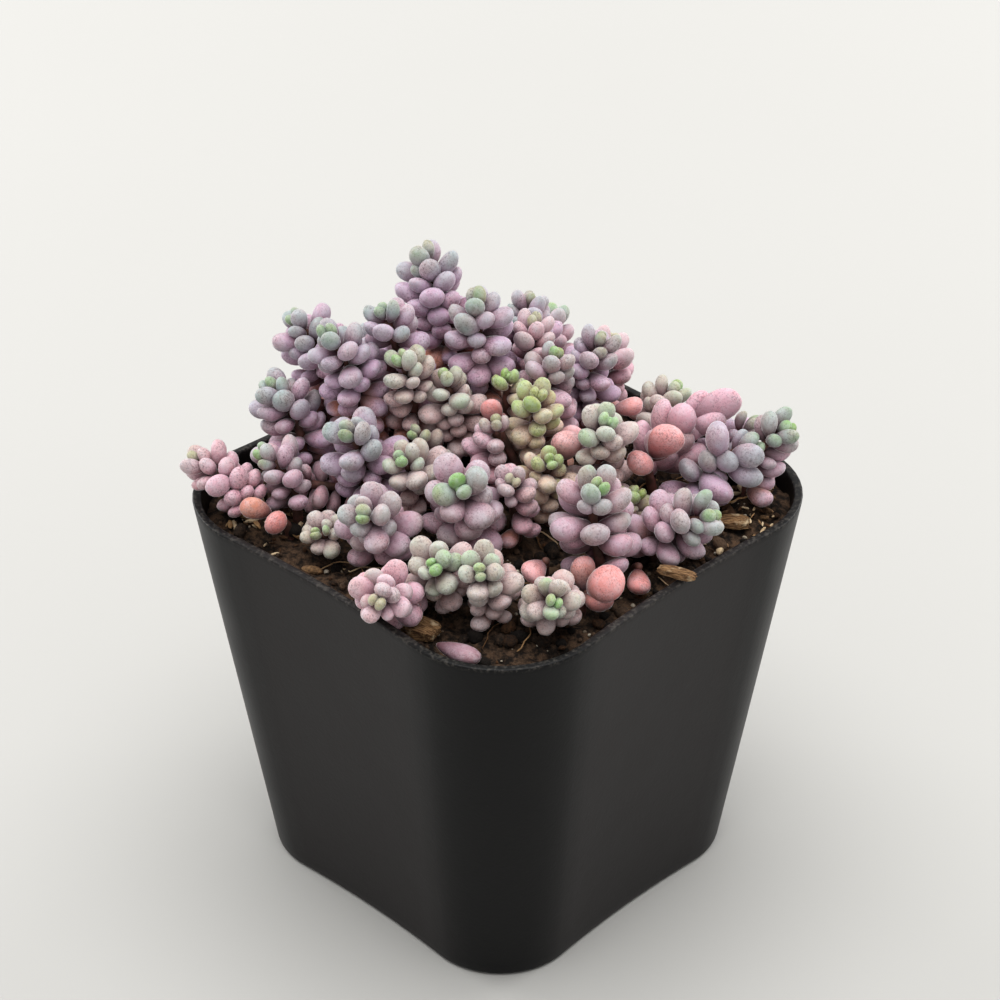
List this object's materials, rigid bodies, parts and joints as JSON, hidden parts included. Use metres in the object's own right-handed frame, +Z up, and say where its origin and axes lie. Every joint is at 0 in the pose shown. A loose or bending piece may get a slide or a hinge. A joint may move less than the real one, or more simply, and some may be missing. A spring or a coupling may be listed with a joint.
{
  "type": "potted corsican stonecrop",
  "caption": "Small stonecrop with crowded bead-shaped leaves on short stems, growing in soil in a square tapered black plant pot.",
  "frame": {"origin": "middle of the pot's flat base, on the surface it stands on", "axes": "+Z up; X and Y square to the pot's sides; the corner between +X and -Y faces the viewer"},
  "size_m": [0.0511, 0.0529, 0.0642],
  "materials": {
    "pot_plastic": "black moulded polypropylene, satin, finely scuffed",
    "potting_soil": "crumbly peat and bark potting mix with pale grit",
    "leaf_lavender": "fleshy leaf with a matt waxy bloom, lavender with grey-green young leaves",
    "leaf_mauve": "fleshy leaf with a matt waxy bloom, mauve with green young leaves",
    "leaf_pink": "fleshy leaf with a matt waxy bloom, dusty pink",
    "leaf_salmon": "fleshy leaf with a matt waxy bloom, salmon pink",
    "leaf_sage": "fleshy leaf with a matt waxy bloom, pale sage green",
    "leaf_green": "fleshy leaf with a matt waxy bloom, fresh green",
    "leaf_fallen": "dropped leaf, dusty purple",
    "bark": "rough tan bark chip"
  },
  "bodies": {
    "root": {"pot": "pot_plastic", "soil": "potting_soil", "stem_left_corner": "leaf_pink", "stem_left_low": "leaf_mauve", "stem_left_upper": "leaf_lavender", "stem_left_middle": "leaf_lavender", "stem_left_creeper": "leaf_pink", "stem_left_front": "leaf_mauve", "stem_left_bud": "leaf_sage", "stem_left_rim": "leaf_pink", "stem_left_pink": "leaf_salmon", "stem_back_tallest": "leaf_lavender", "stem_back_left_high": "leaf_lavender", "stem_back_left": "leaf_lavender", "stem_back_middle": "leaf_lavender", "stem_back_cream": "leaf_sage", "stem_back_centre": "leaf_lavender", "stem_back_right_tall": "leaf_lavender", "stem_back_pale": "leaf_pink", "stem_back_edge": "leaf_lavender", "stem_back_lavender": "leaf_mauve", "stem_centre_rose": "leaf_salmon", "stem_centre_blush": "leaf_salmon", "stem_back_ivory": "leaf_sage", "stem_green_left": "leaf_green", "stem_green_right": "leaf_green", "stem_centre_green": "leaf_mauve", "stem_centre_bud": "leaf_sage", "stem_centre_left": "leaf_sage", "stem_centre_pale": "leaf_pink", "stem_centre_small": "leaf_green", "stem_centre_high": "leaf_sage", "stem_front_coral": "leaf_salmon", "stem_centre_large": "leaf_mauve", "stem_centre_column": "leaf_pink", "stem_front_green": "leaf_sage", "stem_front_column": "leaf_sage", "stem_front_right": "leaf_sage", "stem_front_salmon": "leaf_salmon", "stem_right_crest": "leaf_pink", "stem_right_inner": "leaf_salmon", "stem_right_middle": "leaf_lavender", "stem_right_far": "leaf_lavender", "stem_right_edge": "leaf_mauve", "stem_right_front": "leaf_mauve", "stem_right_shoot": "leaf_green", "stem_right_long": "leaf_salmon", "stem_back_salmon": "leaf_salmon", "stem_rear_left": "leaf_lavender", "stem_rear_corner": "leaf_lavender", "stem_rear_side": "leaf_mauve", "stem_rear_middle": "leaf_mauve", "stem_rear_right": "leaf_pink", "stem_rear_edge": "leaf_sage", "fallen_leaf": "leaf_fallen", "bark_right": "bark", "bark_inner": "bark", "bark_front": "bark", "bark_left": "bark", "bark_rim": "bark"}
  },
  "joints": []
}
